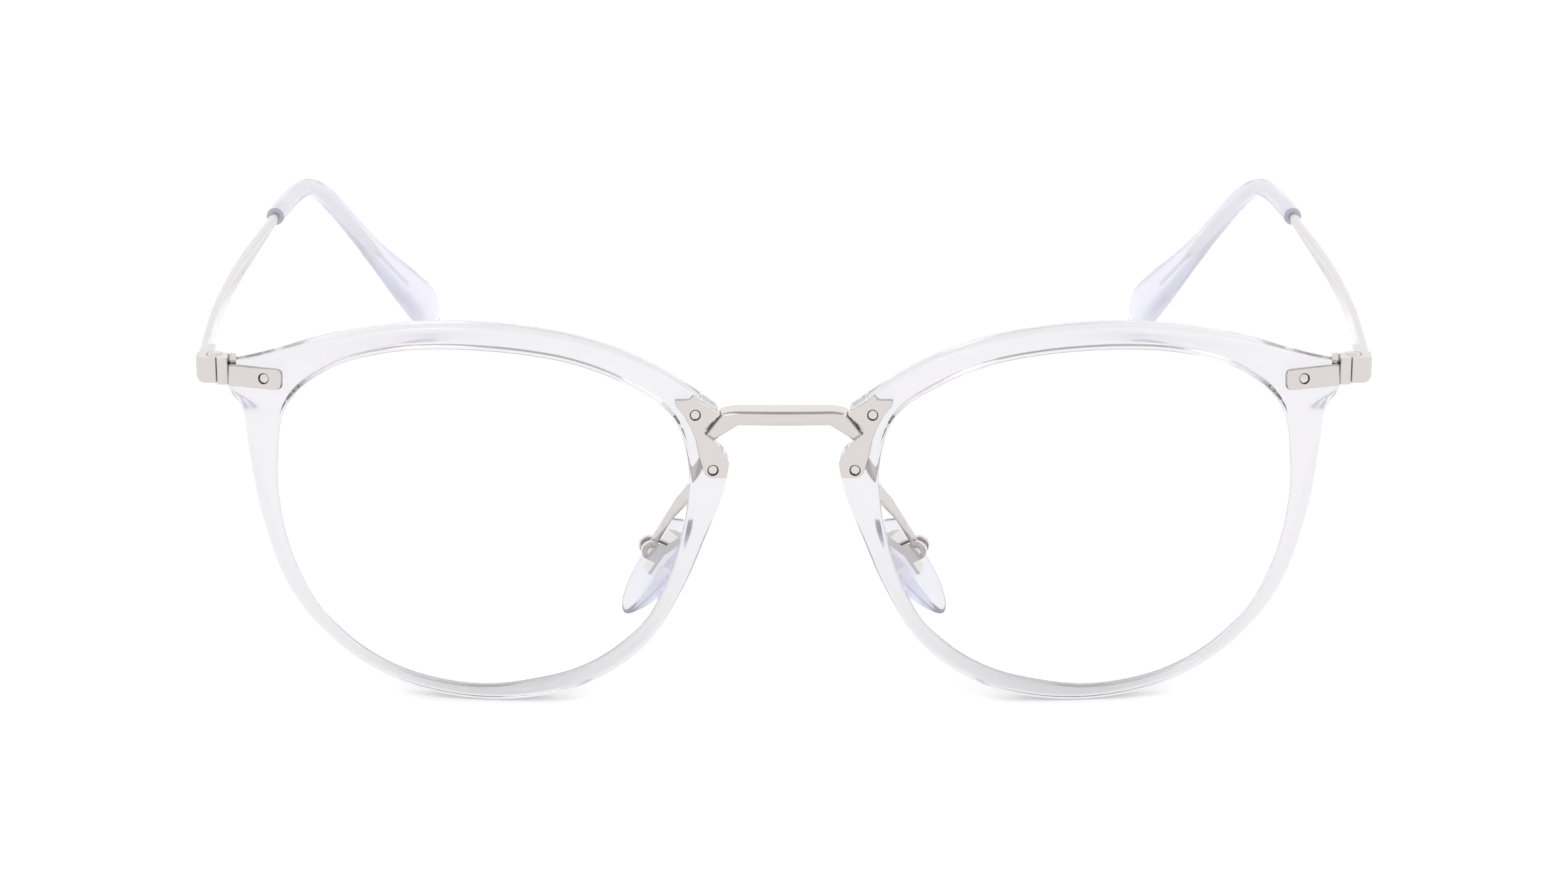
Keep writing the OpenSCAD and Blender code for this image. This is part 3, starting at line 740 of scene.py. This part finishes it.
def temples():
    """The metal strips, which end as core wires, and the clear tips round them."""
    path = spline(TEMPLE_LINE, 14)
    s = lengths(path)
    squareness = [(60, 0.42), (MOUTH_S, 1)]
    strip = [ring(path, i, look(TEMPLE_H, s[i]), look(TEMPLE_T, s[i]), 28,
                  look(squareness, s[i]))
             for i in range(len(path)) if s[i] <= CORE_S]
    last = len(path) - 1
    bore = [ring(path, i, look(TEMPLE_H, s[i]) + 0.4, look(TEMPLE_T, s[i]) + 0.4, 32)
            for i in range(last, -1, -1) if MOUTH_S <= s[i] < BORE_S]
    skinned = [ring(path, i, look(TIP_H, s[i]), look(TIP_T, s[i]), 32)
               for i in range(last + 1) if s[i] >= MOUTH_S]
    mouth_y = (FRONT_Y + PIN_Y + np.interp(MOUTH_S, s, path[:, 1])) * MM
    for word, side in SIDES:
        body = "temple_" + word
        v, f = skin(strip)
        obj = mesh_object("temple_strip_" + word, (at_pin(v, side), f))
        finish_piece(obj, STEEL, body, ["temple_" + word], 40)
        obj.data.materials.append(CORE)
        for face in obj.data.polygons:
            face.material_index = int(face.center.y > mouth_y + 0.3 * MM)
        v, f = skin(bore + skinned)
        finish_piece(mesh_object("temple_sleeve_" + word, (at_pin(v, side), f)), TIP_CLEAR, body,
                     ["temple_tip_" + word], 40)


# ---- nose pads ----

def pads():
    """The pad arms with their eyelets, and the clear pads."""
    line = spline(ARM_LINE, 10)
    for word, side in SIDES:
        v, f = skin([ring(line, i, ARM_W, ARM_T, 20, 0.5) for i in range(len(line))])
        arm = mesh_object("pad_arm_" + word + "_metal", (at_eye(v, side), f))
        half, cut = ARM_T / 2, 0.065
        v, f = lathe([(EYELET_R - 0.06, -half), (EYELET_R, cut - half),
                      (EYELET_R, half - cut), (EYELET_R - 0.06, half)], 40)
        eyelet = mesh_object("eyelet", (at_pad(v, side), f))
        v, f = lathe([(EYELET_HOLE_R, -3), (EYELET_HOLE_R, 3)], 40)
        hole = mesh_object("hole", (at_pad(v, side), f))
        boolean(arm, [eyelet], "UNION")
        boolean(arm, [hole])
        finish_piece(arm, SATIN, "front", ["pad_arm_" + word], 40)

        flat = PAD_BACK - MOUNT_T - SEAT_GAP
        a = 2 * math.pi * (np.arange(40) + 0.5) / 40
        rings = []
        for c in np.cos(np.radians(np.linspace(180, 0, 34))):
            size = math.sqrt(max(1 - c * c, 0.004))
            x = PAD_T * (size * np.minimum(np.cos(a), 0) - 0.1 * (1 - size))
            y = PAD_W / 2 * size * (1 - 0.08 * c) * np.sin(a)
            rings.append(np.column_stack([flat + x, y, np.full(40, c * PAD_L / 2 - PAD_DROP)]))
        v, f = skin(rings)
        pad = mesh_object("nose_pad_" + word + "_clear", (at_pad(v, side), f))
        finish_piece(pad, PAD_CLEAR, "nose_pad_" + word, ["nose_pad_" + word], 50)


studio()
rims()
lenses()
bridge()
rivets()
end_pieces()
small_metal()
temples()
pads()
